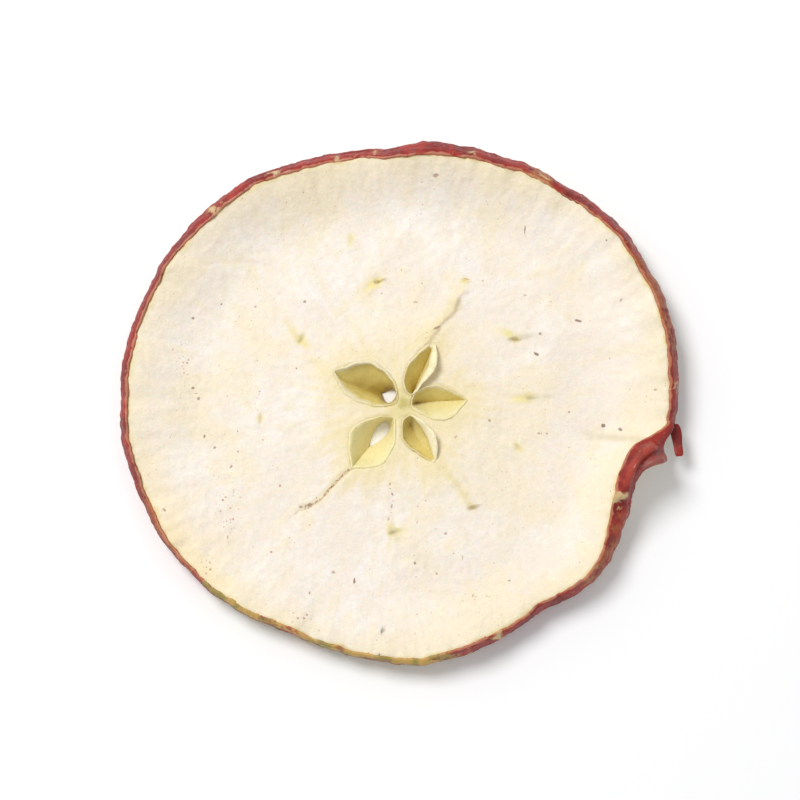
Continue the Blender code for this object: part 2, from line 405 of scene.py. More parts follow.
def petalRing(cell, level, grow=0.0, flare=0.0):
    # the hollow's ring at a level from 0, its mouth, to 1, its valley, as
    # (x, y, height, share of the length, is on the left)
    count = cellPlans["shellPoints"]
    inner, tip = cell["ends"]
    start, end, nearAcross, tipAcross = cell["valley"]
    ring = []
    for index in range(count):
        angle = math.tau * (index + 0.5) / count
        onLeft = angle < math.pi
        hand, side = (0, 1.0) if onLeft else (1, -1.0)
        bulge = abs(math.sin(angle))
        share = 0.5 - 0.5 * math.cos(angle)
        bowl = cell["bowls"][hand] * bulge ** 0.5
        inward = level ** (1.0 + bowl)
        uneven = 1.0 + 0.03 * math.sin(5.3 * angle + cell["azimuth"]) + 0.015 * math.sin(12.7 * angle)
        width = sideWidth(share, *cell["left" if onLeft else "right"]) * uneven
        width += sideWidth(share, cell["flares"][hand] * flare, cellPlans["flarePeak"]) + grow * bulge
        u = inner - grow + (tip - inner + 2.0 * grow) * share
        v = side * width
        valleyU = start - grow + (end - start + 2.0 * grow) * share
        valleyV = nearAcross + (tipAcross - nearAcross) * share + side * (holeWidth(cell, share) + grow * bulge)
        x, y = toPlan(cell, u + (valleyU - u) * inward, v + (valleyV - v) * inward)
        climb = max(0.0, (share - cell["hole"][0]) / (1.0 - cell["hole"][0]))
        deep = cell["depth"] * (1.0 - cell["rise"] * climb) * level ** (1.0 / (1.0 + bowl))
        if level:
            deep += grow * (1.0 + 2.0 * level)
        ring.append((x, y, coreTop - deep, share, onLeft))
    return ring


def hollowSolid(cell):
    # a cone primitive whose rings take the hollow's sections
    levels = (1.0, 0.85, 0.6, 0.35, 0.15, 0.0, -1.0)
    bm = bmesh.new()
    bmesh.ops.create_cone(bm, cap_ends=True, segments=cellPlans["shellPoints"],
                          radius1=1.0, radius2=1.0, depth=1.0)
    uprights = [e for e in bm.edges if abs(e.verts[0].co.z - e.verts[1].co.z) > 0.5]
    bmesh.ops.subdivide_edges(bm, edges=uprights, cuts=len(levels) - 2, use_grid_fill=True)
    grow = cellPlans["hollowGrow"]
    rings = [petalRing(cell, max(level, 0.0), grow if level > 0.1 else -0.1 * grow) for level in levels]
    count = cellPlans["shellPoints"]
    for vert in bm.verts:
        row = round((vert.co.z + 0.5) * (len(levels) - 1))
        spot = round(math.atan2(vert.co.y, vert.co.x) / math.tau * count - 0.5) % count
        x, y, height, _, _ = rings[row][spot]
        vert.co = (x, y, height if levels[row] >= 0.0 else height + 4.0)
    bmesh.ops.reverse_faces(bm, faces=bm.faces)  # the petal runs clockwise, the cone the other way
    return bm


def cellDistance(x, y):
    # distance to the nearest cell's mouth, less than 0 inside it
    reach = cellPlans["reach"]
    nearest = np.full(x.shape, reach)
    near = np.hypot(x, y) < cellPlans["allWithin"]
    shares = np.linspace(0.0, 1.0, 60)
    for cell in cellPlans["cells"]:
        ring = np.array([point[:2] for point in petalRing(cell, 0.0)])
        far = np.full(x.shape, reach)
        gaps = np.hypot(x[near][:, None] - ring[:, 0], y[near][:, None] - ring[:, 1])
        far[near] = np.minimum(gaps.min(axis=1), reach)
        u, v = turned(x, y, cell["azimuth"])
        inner, tip = cell["ends"]
        left, right = (np.interp((u - inner) / (tip - inner), shares,
                                 [sideWidth(float(share), *cell[hand]) for share in shares], 0.0, 0.0)
                       for hand in ("left", "right"))
        inside = (u > inner) & (u < tip) & (v < left) & (v > -right)
        nearest = np.minimum(nearest, np.where(inside, -far, far))
    return nearest


# Flesh

fleshPlan = {
    "turnSteps": 256,
    "voxel": 0.30,
    "skinGap": 0.16,       # the flesh stops this far inside the skin's face
    # height and feature size of each kind of unevenness
    "pulp": (0.05, 0.8),
    "sag": (0.20, 8.0),
    "crinkle": (0.11, 2.6),
    "pucker": (0.12, 1.5),
    "veinDent": (0.16, 0.55),
    "coreRise": (0.18, 1.6),   # the flesh stands up a little round the cells
    "coreLayers": (0.05, 0.85),
    # where those layers show most: x, y, reach in x, reach in y, share
    "layerPlaces": ((-4.8, 4.7, 4.2, 1.8, 1.0), (1.4, 6.2, 1.2, 3.0, 0.8), (5.6, 2.9, 2.4, 1.2, 0.6),
                    (-5.0, -0.9, 3.0, 1.0, 0.3)),
    # bundles that ring the core: x, y, how dark the dash in the middle is and
    # its azimuth, then soft arms: azimuth, length, yellow share, strength
    "veins": (
        (-3.3, 16.0, 1.0, 22, ((218, 2.4, 1.0, 1.0), (150, 1.2, 1.0, 0.5))),
        (-13.1, 8.5, 0.5, 60, ((128, 3.4, 0.8, 0.8), (62, 2.4, 0.7, 0.5), (-47, 2.0, 0.9, 0.7))),
        (-18.1, -1.7, 0.35, 80, ((85, 1.3, 0.8, 0.6), (200, 0.8, 0.5, 0.3))),
        (-12.4, -12.6, 0.3, 10, ((230, 1.2, 0.8, 0.4), (40, 1.0, 0.5, 0.3))),
        (-1.4, -15.9, 0.75, 20, ((125, 1.2, 1.0, 0.8), (10, 1.5, 0.9, 0.9), (-60, 2.2, 0.2, 0.45),
                                 (95, 3.0, 0.2, 0.4), (-95, 2.5, 0.1, 0.35))),
        (8.5, -12.8, 0.85, 15, ((127, 3.6, 1.0, 0.8), (-40, 1.4, 0.3, 0.5))),
        (14.2, -5.2, 0.25, -50, ((130, 1.2, 0.9, 0.5), (-50, 1.0, 0.9, 0.5))),
        (15.7, 1.0, 0.45, 0, ((184, 2.5, 1.0, 1.0), (120, 1.4, 1.0, 0.4), (3, 2.8, 0.0, 0.8))),
        (14.0, 8.55, 0.8, 0, ((147, 2.1, 1.0, 1.1), (10, 2.4, 0.0, 0.8), (225, 1.0, 0.7, 0.4))),
        (7.7, 16.1, 0.35, -10, ((-120, 1.6, 1.0, 0.6), (200, 1.2, 0.8, 0.4))),
        (6.8, 12.9, 0.0, 70, ((75, 0.9, 0.0, 0.8), (255, 0.9, 0.0, 0.8))),
        (-6.8, 21.4, 0.0, 0, ((90, 1.2, 1.0, 0.45), (-90, 1.0, 1.0, 0.4))),
        (19.1, 17.3, 0.0, 0, ((60, 1.2, 0.9, 0.35),))),
    # single dark specks: x, y, length, width, azimuth, tone from pink to dark
    "specks": (
        (24.9, -2.5, 0.62, 0.55, 20, 1.0), (26.95, -3.1, 0.55, 0.45, 150, 0.9), (4.1, 9.9, 1.15, 0.34, 28, 0.75),
        (-11.8, -12.5, 0.75, 0.5, 20, 0.8), (-12.9, -12.75, 0.55, 0.34, 0, 0.7), (10.67, -1.9, 0.42, 0.36, 0, 0.6),
        (16.8, -3.5, 0.4, 0.3, 0, 0.5), (17.8, -3.55, 0.35, 0.3, 0, 0.45), (6.4, -4.0, 0.5, 0.3, 40, 0.4),
        (7.2, -19.1, 0.8, 0.16, 90, 0.4), (1.4, 13.3, 0.6, 0.3, 0, 0.35), (-25.0, -3.9, 0.5, 0.3, 80, 0.8),
        (-23.7, -5.3, 0.45, 0.34, 0, 0.7), (-21.6, -7.7, 0.55, 0.3, 60, 0.7), (-15.5, -10.1, 0.4, 0.3, 80, 0.6),
        (-29.7, -13.3, 0.6, 0.34, -40, 0.6), (-21.9, -16.6, 0.5, 0.24, 80, 0.4), (7.9, 16.25, 0.9, 0.16, -12, 0.5),
        (20.6, -0.8, 0.35, 0.3, 0, 0.6),
        (31.3, 1.7, 0.4, 0.3, 0, 0.6), (16.6, 6.6, 0.75, 0.42, -35, 1.0), (17.1, 9.2, 0.42, 0.36, 0, 0.8),
        (21.9, 10.9, 1.0, 0.36, -18, 0.95), (15.3, 14.2, 0.5, 0.3, 0, 0.4), (15.3, 22.6, 1.1, 0.2, 85, 0.8),
        (27.2, 13.2, 0.6, 0.3, 60, 0.5), (3.95, 29.1, 0.8, 0.45, 10, 0.7), (-6.2, -22.0, 0.9, 0.30, 88, 1.0),
        (-8.8, -20.9, 0.5, 0.42, 0, 0.5), (1.3, -19.8, 0.42, 0.34, 70, 0.8), (4.0, -21.1, 0.38, 0.3, 0, 0.6),
        (5.1, -16.1, 0.45, 0.36, 0, 0.6), (-11.7, -23.5, 0.45, 0.26, 80, 0.7), (-12.6, 13.3, 0.42, 0.36, 0, 0.8),
        (-23.1, 13.0, 0.36, 0.26, 70, 0.7), (-18.8, 12.7, 0.35, 0.3, 0, 0.6), (-26.6, 11.1, 0.42, 0.36, 0, 0.8),
        (-26.5, 2.2, 0.45, 0.36, 0, 0.8), (-25.8, 0.9, 0.45, 0.42, 0, 0.7), (-1.8, -9.9, 0.36, 0.24, 90, 0.6),
        (-1.5, -11.2, 0.5, 0.26, 110, 0.7), (-1.6, -12.7, 0.5, 0.24, 80, 0.6), (-2.0, -14.3, 0.4, 0.26, 60, 0.5),
        (12.9, -22.0, 0.4, 0.3, 0, 0.6), (-16.5, -18.4, 0.35, 0.3, 0, 0.7)),
    # clusters of fine flecks: x, y, reach in x, reach in y, share
    "clusters": (
        (-21.8, -13.5, 1.5, 3.2, 1.0), (-13.0, -26.4, 2.0, 1.0, 0.8), (-24.3, -20.3, 0.8, 1.6, 0.7),
        (-16.2, -8.3, 1.0, 2.0, 0.45), (8.5, -24.2, 3.0, 1.4, 0.5), (20.5, 4.0, 2.0, 2.5, 0.4),
        (-27.2, 6.0, 1.5, 3.0, 0.6), (3.2, 28.0, 1.6, 1.0, 0.55), (17.0, 14.0, 2.5, 2.0, 0.4)),
    # where the flesh is warmer inside the skin: azimuth, reach clockwise,
    # reach anticlockwise, share
    "warmEdge": ((-143, 30, 22, 1.0), (-60, 14, 30, 0.35), (100, 40, 30, 0.35)),
    # thin creases: the path, how the relief fades in and out along it, if it is
    # broken, and its bells on the left and, where they differ, on the right:
    # place, width, height
    "creases": {
        "ridge": dict(
            path=((2.9, 8.2), (3.9, 9.7), (5.0, 11.2), (6.1, 12.2), (6.6, 13.8), (7.3, 14.6), (9.3, 15.7)),
            fadeIn=(0.0, 0.06), fadeOut=0.6, broken=True,
            left=((0.0, 1.0, 0.15),), right=((0.0, 0.4, 0.15), (-0.5, 0.45, -0.05))),
        "crack": dict(
            path=((-6.3, -7.9), (-7.0, -8.2), (-8.5, -9.6), (-10.4, -11.8), (-11.9, -12.8), (-13.0, -13.1),
                  (-15.4, -14.9)),
            fadeIn=(0.0, 0.05), fadeOut=0.4, broken=True,
            left=((0.5, 0.4, 0.07), (0.0, 0.26, -0.18)), right=((-0.5, 0.4, 0.07), (0.0, 0.26, -0.18))),
        "seam": dict(
            path=((4.3, -7.8), (5.9, -9.2), (8.0, -11.6), (8.7, -13.2)),
            fadeIn=(0.0, 0.1), fadeOut=0.6, broken=False, left=((0.4, 0.35, 0.10), (0.0, 0.3, -0.10))),
        "fold": dict(
            path=((30.5, -4.9), (28.8, -4.3), (23.7, -3.8), (20.0, -2.9)),
            fadeIn=(-1.0, 0.0), fadeOut=0.35, broken=False, left=((1.0, 0.8, 0.13), (0.0, 0.6, -0.28))),
    },
}


def fleshSection():
    tops, bottoms = sliceForm["tops"], sliceForm["bottoms"]
    edge = meanRadius - sliceForm["rimRounding"] - 0.1
    radii = np.linspace(0.0, edge, 30)
    section = [(r, float(faceHeight(r, tops))) for r in radii]
    for share in (0.15, 0.35, 0.5, 0.65, 0.85):
        bulge = sliceForm["rimRounding"] * math.sin(math.pi * share) ** 0.7 - fleshPlan["skinGap"]
        section.append((edge + 0.1 + bulge, rimTop + (rimBottom - rimTop) * share))
    return section + [(r, float(faceHeight(r, bottoms))) for r in radii[::-1]]


def softSwell(x, y, cellFar):
    # broad unevenness, which the cells' papers share
    size, scale = fleshPlan["sag"]
    swell = size * fractal(np.stack([x, y, np.full_like(x, 4.0)], axis=1), scale, 2, 11)
    size, width = fleshPlan["coreRise"]
    return swell + size * np.exp(-np.maximum(cellFar, 0.0) / width) * ease(0.8, 2.4, np.hypot(x, y))


def patchSum(x, y, patches):
    # sum of bells at places on the face
    total = np.zeros(len(x))
    for px, py, reachX, reachY, share in patches:
        total += share * bell(x - px, reachX) * bell(y - py, reachY)
    return total


def fleshRelief(x, y, places, cellFar):
    # height that drying leaves on the cut face
    radius, turn = np.hypot(x, y), np.arctan2(y, x)
    size, scale = fleshPlan["pulp"]
    relief = softSwell(x, y, cellFar) + size * fractal(places, scale, 3, 3)
    # thin raised wrinkles that run mostly outwards, in patches
    size, scale = fleshPlan["crinkle"]
    polar = polarPlaces(turn, radius, 12.0 / scale, scale * 2.2)
    crease = 1.0 - 2.2 * np.abs(fractal(polar, 1.0, 2, 31) + 0.35 * fractal(places, scale, 2, 37))
    patch = ease(0.0, 0.5, fractal(places, 11.0, 2, 41))
    relief += size * np.maximum(crease, 0.0) ** 2 * (0.25 + 0.75 * patch) * ease(9.0, 14.0, radius)
    size, scale = fleshPlan["pucker"]
    polar = polarPlaces(turn, radius, 33.0 / scale, scale * 3.5)
    relief += size * fractal(polar, 1.0, 3, 5) * ease(24.0, 31.5, radius)
    size, width = fleshPlan["veinDent"]
    for vx, vy, strength, _, arms in fleshPlan["veins"]:
        far = np.hypot(x - vx, y - vy)
        relief += strength * size * (0.5 * bell(far, 2.6 * width) - 1.5 * bell(far, width))
        for azimuth, length, _, armStrength in arms:
            along, across = turned(x - vx, y - vy, azimuth)
            step = bell(across - 0.3, 0.3) - bell(across + 0.15, 0.28)
            relief += 0.13 * armStrength * bell(along - 0.4 * length, 0.75 * length) * step
    # thin layers of flesh and paper step down to the cells
    size, period = fleshPlan["coreLayers"]
    phase = cellFar * math.tau / period + 2.5 * fractal(places, 3.0, 2, 91)
    share = 0.5 + 1.8 * patchSum(x, y, fleshPlan["layerPlaces"])
    relief += size * share * np.cos(phase) * np.exp(-np.maximum(cellFar, 0.0) / 1.3) * ease(0.9, 2.0, radius)
    # creases, which fade along their paths
    gaps = 0.75 + 0.7 * fractal(places, 1.6, 2, 71)
    for crease in fleshPlan["creases"].values():
        side, _, run = pathDistance(x, y, crease["path"])
        fade = ease(*crease["fadeIn"], run) * ease(1.0, crease["fadeOut"], run)
        left, right = (sum(height * bell(side - at, width) for at, width, height in bells)
                       for bells in (crease["left"], crease.get("right", crease["left"])))
        relief += np.where(side > 0.0, left, right) * fade * (gaps if crease["broken"] else 1.0)
    return relief


def rimPatches(azimuth, across, patches):
    # sum of bells along and across the rim
    total = np.zeros_like(azimuth)
    for place, clockwise, anticlockwise, level, width, size in patches:
        total += around(azimuth, ((place, clockwise, anticlockwise, size),)) * bell(across - level, width)
    return total


def nearestMark(x, y, marks, reach):
    # offset to the nearest mark within reach, in its own direction: along,
    # across, number
    offsets = np.tile((9.0, 9.0, 0.0), (len(x), 1))
    best = np.full(len(x), reach)
    for number, (px, py, azimuth) in enumerate(marks):
        far = np.hypot(x - px, y - py)
        nearer = far < best
        along, across = turned(x - px, y - py, azimuth)
        offsets[nearer] = np.stack([along, across, np.full(len(x), number)], axis=1)[nearer]
        best = np.minimum(best, far)
    return offsets


def makeFlesh():
    flesh = toObject(turnSection(fleshSection(), fleshPlan["turnSteps"], False), "flesh")
    cutters = [toObject(hollowSolid(cell), "hollow_" + cell["name"]) for cell in cellPlans["cells"]]
    for cutter in cutters:
        cut = flesh.modifiers.new(cutter.name, "BOOLEAN")
        cut.operation = "DIFFERENCE"
        cut.object = cutter
    remesh = flesh.modifiers.new("Even mesh", "REMESH")
    remesh.mode = "VOXEL"
    remesh.voxel_size = fleshPlan["voxel"]
    applyModifiers(flesh)
    for cutter in cutters:
        bpy.data.objects.remove(cutter, do_unlink=True)
    mesh = flesh.data
    upward = meshPoints(mesh, "normal")[:, 2]
    flat = meshPoints(mesh)
    radius, turn = np.hypot(flat[:, 0], flat[:, 1]), np.arctan2(flat[:, 1], flat[:, 0])
    places = np.stack([flat[:, 0], flat[:, 1], np.sign(flat[:, 2]) * 4.0], axis=1)
    x, y = bend(flat)[:, :2].T  # marks lie where the bent slice shows them
    cellFar = cellDistance(x, y)
    relief = fleshRelief(x, y, places, cellFar)
    onTop, under = ease(0.35, 0.8, upward), ease(0.35, 0.8, -upward)
    # underneath, the closed cells show as shallow dents
    calm = 0.8 * fleshPlan["pulp"][0] * fractal(places, 1.0, 3, 17) + 0.10 * fractal(places, 7.0, 2, 19)
    calm -= 0.35 * ease(0.3, -1.2, cellFar)
    for vx, vy, strength, *_ in fleshPlan["veins"]:
        calm -= 0.12 * strength * bell(np.hypot(x - vx, y - vy), 0.7)
    flat[:, 2] += relief * onTop - np.minimum(calm, 0.02) * under
    # the side follows the skin's folds
    across = (flat[:, 2] - rimBottom) / (rimTop - rimBottom)
    rimNear = meanRadius - radius
    push = np.minimum(rimPatches(np.degrees(turn), across, dryingPlan["rimFolds"]), 0.0)
    push *= ease(0.9, 0.45, rimNear)
    flat[:, 0] += push * np.cos(turn)
    flat[:, 1] += push * np.sin(turn)
    setPoints(mesh, bend(flat))
    yellow, grey = np.zeros(len(x)), np.zeros(len(x))
    for vx, vy, _, _, arms in fleshPlan["veins"]:
        for azimuth, length, yellowShare, strength in arms:
            along, across = turned(x - vx, y - vy, azimuth)
            reach = np.where(along > 0.0, 1.1 * length, 0.7)
            cloud = 1.5 * strength * bell(along, reach) * bell(across, 0.6 + 0.15 * np.maximum(along, 0.0))
            cloud += 0.6 * strength * bell(along - 0.3 * length, 0.6 * length) * bell(across, 0.24)
            yellow += yellowShare * cloud
            grey += (1.0 - yellowShare) * cloud
    veins = nearestMark(x, y, [(v[0], v[1], v[3]) for v in fleshPlan["veins"]], 3.0)
    veins[:, 2] = np.array([v[2] for v in fleshPlan["veins"]])[veins[:, 2].astype(int)]
    marks = np.array(fleshPlan["specks"])
    specks = nearestMark(x, y, marks[:, [0, 1, 4]], 0.95)
    nearest = marks[specks[:, 2].astype(int)]
    specks[:, :2] /= 0.5 * nearest[:, 2:4]
    specks[:, 2] = nearest[:, 5]
    masks = {
        "rimNear": rimNear,
        "warmEdge": around(np.degrees(turn), fleshPlan["warmEdge"]) * bell(rimNear, 4.5),
        "fleckCluster": patchSum(x, y, fleshPlan["clusters"]),
        "layerShare": patchSum(x, y, fleshPlan["layerPlaces"]),
        "cellFar": cellFar,
        "hubFar": np.hypot(x + 0.05, y - 0.3),
        "streak": fractal(polarPlaces(turn, radius, 17.0, 5.0), 1.0, 3, 51),
        "veinYellow": yellow,
        "veinGrey": grey,
        "veinOffset": veins,
        "speckOffset": specks,
    }
    for name, crease in fleshPlan["creases"].items():
        side, far, run = pathDistance(x, y, crease["path"])
        masks[name + "Side"] = np.clip(side, -4.0, 4.0)
        masks[name + "Far"] = np.clip(far, 0.0, 4.0)
        masks[name + "Run"] = run
    setMasks(mesh, masks)
    mesh.shade_smooth()
    return flesh


# Papery walls of the seed cells

def makePapers():
    bm = bmesh.new()
    paintedLightLayer = bm.verts.layers.float.new("paperPaintedLight")
    lipLayer = bm.verts.layers.float.new("lipHigh")
    levels = cellPlans["shellLevels"]
    count = cellPlans["shellPoints"]
    marks = {}
    for number, cell in enumerate(cellPlans["cells"]):
        # flared lip first, then the wall down to the valley
        ringPlan = [(2.0, 0.0), (1.5, 0.0), (1.0, 0.0), (0.5, 0.0)]
        ringPlan += [(0.0, index / levels) for index in range(levels + 1)]
        made = bmesh.ops.create_circle(bm, cap_ends=False, segments=count, radius=1.0)
        verts = sorted(made["verts"], key=lambda v: math.atan2(v.co.y, v.co.x) % math.tau)
        edges = list(dict.fromkeys(e for v in verts for e in v.link_edges))
        for row, (flare, level) in enumerate(ringPlan):
            if row:
                grown = bmesh.ops.extrude_edge_only(bm, edges=edges)["geom"]
                newVerts = [g for g in grown if isinstance(g, bmesh.types.BMVert)]
                edges = [g for g in grown if isinstance(g, bmesh.types.BMEdge)
                         and all(v in newVerts for v in g.verts)]
                partner = {}
                for vert in newVerts:
                    for edge in vert.link_edges:
                        other = edge.other_vert(vert)
                        if other in marks and marks[other][0] == (number, row - 1):
                            partner[marks[other][1]] = vert
                verts = [partner[index] for index in range(count)]
            ring = petalRing(cell, level, 0.0, flare * 0.5)
            for index, vert in enumerate(verts):
                x, y, height, share, onLeft = ring[index]
                marks[vert] = ((number, row), index)
                hand, side = (0, 1.0) if onLeft else (1, -1.0)
                frill = noise.fractal(Vector((x, y, number * 5.0)) * 0.55, 1.0, 2.0, 3)
                lip = sideWidth(share, cell["lips"][hand], cellPlans["lipPeak"])
                # painted light: the side of the wall that the key lamp lights is stored lighter for the paper's
                # colour
                vert[paintedLightLayer] = cell["paintedLight"][hand]
                high = min(1.0, lip / cellPlans["fullLip"])
                vert[lipLayer] = high
                if flare:
                    height = coreTop + (lip + 0.035) * min(1.0, 0.65 * flare) ** 0.8 * (1.0 + 0.7 * frill)
                    # a low lip rolls over and ends inside the flesh
                    low = 1.0 - high
                    out = low * (0.07 + 0.07 * frill) * flare * side
                    ax, ay = toPlan(cell, math.copysign(0.4 * abs(out), share - 0.5), out)
                    x, y = x + ax, y + ay
                    height -= low * 0.20 * flare
                # the paper wavers in and out, less towards the valley
                wide = Vector((x * 0.7, y * 0.7, 3.0 + number + height * 0.5))
                close = Vector((x * 2.2, y * 2.2, height * 0.8))
                sway = 0.16 * (1.0 - level) * noise.noise(wide) + 0.05 * (1.0 - level) * noise.noise(close)
                ax, ay = toPlan(cell, 0.0, side)
                vert.co = (x + ax * sway, y + ay * sway, height)
        if not cell["hole"][1]:
            bmesh.ops.holes_fill(bm, edges=edges, sides=0)
    bmesh.ops.remove_doubles(bm, verts=bm.verts, dist=0.004)
    bmesh.ops.recalc_face_normals(bm, faces=bm.faces)
    papers = toObject(bm, "corePapers")
    wall = papers.modifiers.new("Paper", "SOLIDIFY")
    wall.thickness = cellPlans["paper"]
    wall.offset = 0.0
    applyModifiers(papers)
    mesh = papers.data
    flat = meshPoints(mesh)
    # how deep a point lies in its cell, which also sets the painted shade in the hollow
    depth = np.clip((coreTop + 0.9 - flat[:, 2]) / 3.4, 0.0, 1.0)
    swell = softSwell(flat[:, 0], flat[:, 1], np.zeros(len(flat)))
    flat[:, 2] += swell * ease(0.9, 0.3, depth)
    setMasks(mesh, {"paperDepth": depth})
    setPoints(mesh, bend(flat))
    mesh.shade_smooth()
    return papers


# Skin

skinPlan = {
    "turnSteps": 220,
    "turnCuts": 4,
    "facePoints": 26,
    "thickness": 0.30,
    "proud": 0.05,
    "lip": 0.08,
    "crossWrinkle": (0.10, 1.1, 3.2),   # height, size along the rim, size across it
    "longWrinkle": (0.11, 7.0, 0.9),
    "fineWrinkle": (0.035, 0.45),
    # places of full colour: azimuth, reach clockwise, reach anticlockwise, share
    "olive": ((-98, 20, 22, 1.0), (-130, 9, 9, 0.9)),
    "orange": ((22, 20, 20, 0.60), (-150, 11, 9, 0.85), (60, 4, 4, 0.8), (-43, 4, 4, 0.6),
               (-29, 3, 4, 0.45), (-36, 4, 4, 0.6)),
    # the same with its place across the rim (0 bottom, 1 top) and width there
    # (the dull underside of the pleat's fold is mauve, and gloss is shine)
    "pale": ((134, 2.6, 2.6, 0.9, 0.4, 0.52), (75, 1.6, 1.6, 0.9, 0.3, 0.46), (97, 2.0, 1.8, 0.8, 0.3, 0.46),
             (106, 1.6, 1.6, 0.95, 0.3, 0.46), (60, 3.0, 3.0, 0.9, 0.5, 0.44), (-67.5, 1.0, 1.0, 0.9, 0.4, 0.75),
             (-22.8, 1.5, 1.2, 0.95, 0.42, 1.1), (4, 0.9, 0.9, 0.9, 0.4, 0.5), (120, 2.4, 2.4, 0.9, 0.3, 0.42),
             (-42, 2.0, 2.0, 0.9, 0.4, 0.42), (-94, 2.0, 2.0, 0.7, 0.4, 0.4)),
    "mauve": ((-13.5, 5.5, 4.0, 0.12, 0.34, 1.25),),
    "gloss": ((-15.0, 5.0, 4.0, 0.72, 0.2, 1.4), (-26, 5, 5, 0.8, 0.5, 0.5), (120, 50, 40, 1.0, 0.4, 0.4)),
    "dark": ((-13, 8, 7, 0.85, 0.35, 0.5), (-21, 1.2, 1.2, 0.5, 1.5, 0.6), (152, 7, 7, 0.5, 1.5, 0.7),
             (-94, 2, 2, 0.5, 1.5, 0.5), (-103, 1.5, 1.5, 0.5, 1.5, 0.5), (-70.5, 1.5, 1.5, 0.5, 1.5, 0.6),
             (-98, 26, 26, 0.66, 0.15, 0.6), (-130, 12, 10, 0.74, 0.12, 0.8), (-150, 14, 9, 0.74, 0.2, 0.9),
             (-134, 3, 3, 0.6, 0.6, 0.5), (-148, 4, 4, 0.6, 0.6, 0.55), (-121, 2, 2, 0.6, 0.6, 0.5)),
    # a torn shred that hangs from the end of the upper band
    "shred": {"top": (33.80, -2.35), "bottom": (34.25, -6.5), "width": 0.66, "thick": 0.26, "height": 0.60},
}


def skinSection():
    # closed loop: down the face, and back up inside it
    lip = skinPlan["lip"]
    corner = meanRadius - sliceForm["rimRounding"] + skinPlan["proud"]
    thick = skinPlan["thickness"]
    face = []
    for index in range(skinPlan["facePoints"] + 1):
        share = index / skinPlan["facePoints"]
        height = rimTop + lip + (rimBottom - rimTop - 2 * lip) * share
        face.append((corner + sliceForm["rimRounding"] * math.sin(math.pi * share) ** 0.7, height))
    inside = [(r - thick, h * 0.985) for r, h in face[::-1]]
    upperLip = (corner - thick * 0.5, face[0][1] + 0.07)
    lowerLip = (corner - thick * 0.5, face[-1][1] - 0.07)
    return face + [lowerLip] + inside + [upperLip]


def placeShred(ball):
    # turns a unit ball's points into the shred, in bent millimetres
    plan = skinPlan["shred"]
    (topX, topY), (lowX, lowY) = plan["top"], plan["bottom"]
    share = 0.5 - 0.5 * ball[:, 1]
    length = math.hypot(lowX - topX, lowY - topY)
    sideX, sideY = (lowY - topY) / length, -(lowX - topX) / length
    blunt = np.maximum(np.hypot(ball[:, 0], ball[:, 2]), 0.05) ** -0.6
    width = plan["width"] * (1.0 + 0.12 * np.sin(7.0 * share)) * ball[:, 0] * blunt
    x = topX + (lowX - topX) * share + sideX * width
    y = topY + (lowY - topY) * share + sideY * width
    z = middleHeight(np.full_like(x, topX - 1.2), y * 0.5 + topY * 0.5) + plan["height"]
    z += ball[:, 2] * plan["thick"] - 0.7 * share ** 1.5 + 0.12 * ball[:, 0] ** 2
    return np.stack([x, y, z], axis=1)


def makeSkin():
    bm = turnSection(skinSection(), skinPlan["turnSteps"], True, skinPlan["turnCuts"])
    ringCount = len(bm.verts)
    bmesh.ops.create_uvsphere(bm, u_segments=40, v_segments=40, radius=1.0,
                              matrix=Matrix.Rotation(math.pi / 2.0, 4, "X"))
    skin = toObject(bm, "skin")
    mesh = skin.data
    flat = meshPoints(mesh)
    ball = flat[ringCount:].copy()
    x, y, h = flat.T
    radius = np.hypot(x, y)
    turn = np.arctan2(y, x)
    azimuth = np.degrees(turn)
    across = (h - rimBottom) / (rimTop - rimBottom)
    ringX, ringY = np.cos(turn), np.sin(turn)

    def ringNoise(along, wide, octaves, seed):
        scale = meanRadius / along
        return fractal(np.stack([ringX * scale, ringY * scale, h / wide], axis=1), 1.0, octaves, seed)

    height, along, wide = skinPlan["crossWrinkle"]
    push = height * ringNoise(along, wide, 3, 2)
    height, along, wide = skinPlan["longWrinkle"]
    push += height * ringNoise(along, wide, 3, 8)
    height, along = skinPlan["fineWrinkle"]
    push += height * ringNoise(along, along, 2, 13)
    folds = rimPatches(azimuth, across, dryingPlan["rimFolds"])
    radius = radius + push + folds
    ragged = ringNoise(1.4, 50.0, 3, 21)
    h = h + 0.10 * ragged * ease(0.5, 1.0, across) - 0.10 * ragged * ease(0.5, 0.0, across)
    places = bend(np.stack([radius * ringX, radius * ringY, h], axis=1))
    places[ringCount:] = placeShred(ball)
    setPoints(mesh, places)
    azimuth[ringCount:] = -10.0
    across[ringCount:] = 0.5
    azimuth += 1.6 * ringNoise(1.3, 1.3, 3, 81) + 1.5 * (across - 0.5)
    masks = {name + "Share": around(azimuth, skinPlan[name]) for name in ("olive", "orange")}
    for name in ("pale", "mauve", "gloss", "dark"):
        masks[name + "Share"] = rimPatches(azimuth, across, skinPlan[name])
    masks = {name: np.clip(share, 0.0, 1.3) for name, share in masks.items()}
    lipNear = np.minimum(rimTop - h, h - rimBottom)
    lipNear[ringCount:] = 1.0
    # how far the skin stands out, which carries a painted highlight in its colour
    crest = (push + 0.6 * folds) * 5.0
    crest[ringCount:] = -0.2
    setMasks(mesh, {**masks, "lipNear": lipNear, "crest": crest, "runStreak": ringNoise(0.55, 4.0, 3, 61)})
    mesh.shade_smooth()
    return skin


# Materials

